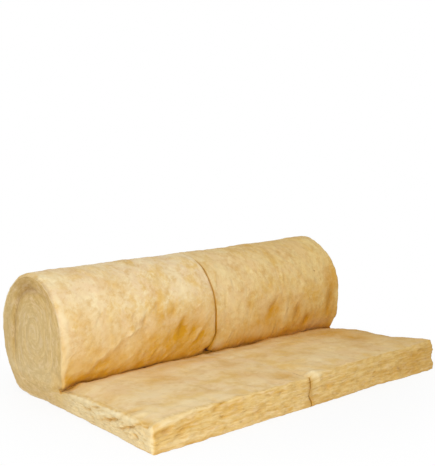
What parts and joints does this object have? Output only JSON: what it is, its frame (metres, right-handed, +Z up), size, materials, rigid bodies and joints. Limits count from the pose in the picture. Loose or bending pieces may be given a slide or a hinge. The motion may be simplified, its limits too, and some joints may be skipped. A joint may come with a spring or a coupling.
{
  "type": "insulation roll",
  "caption": "Roll of glass wool insulation mat, slit into strips wound side by side, sagging onto its unrolled tongue.",
  "frame": {"origin": "bottom centre of the bounding box, on the floor plane", "axes": "+X along the roll's axis, -Y the way the unrolled tongue points, +Z up from the floor"},
  "size_m": [1.2, 0.8304, 0.4001],
  "materials": {
    "glass_wool": "matte fibrous glass wool"
  },
  "bodies": {
    "root": {"left_wool_strip": "glass_wool", "right_wool_strip": "glass_wool"}
  },
  "joints": []
}
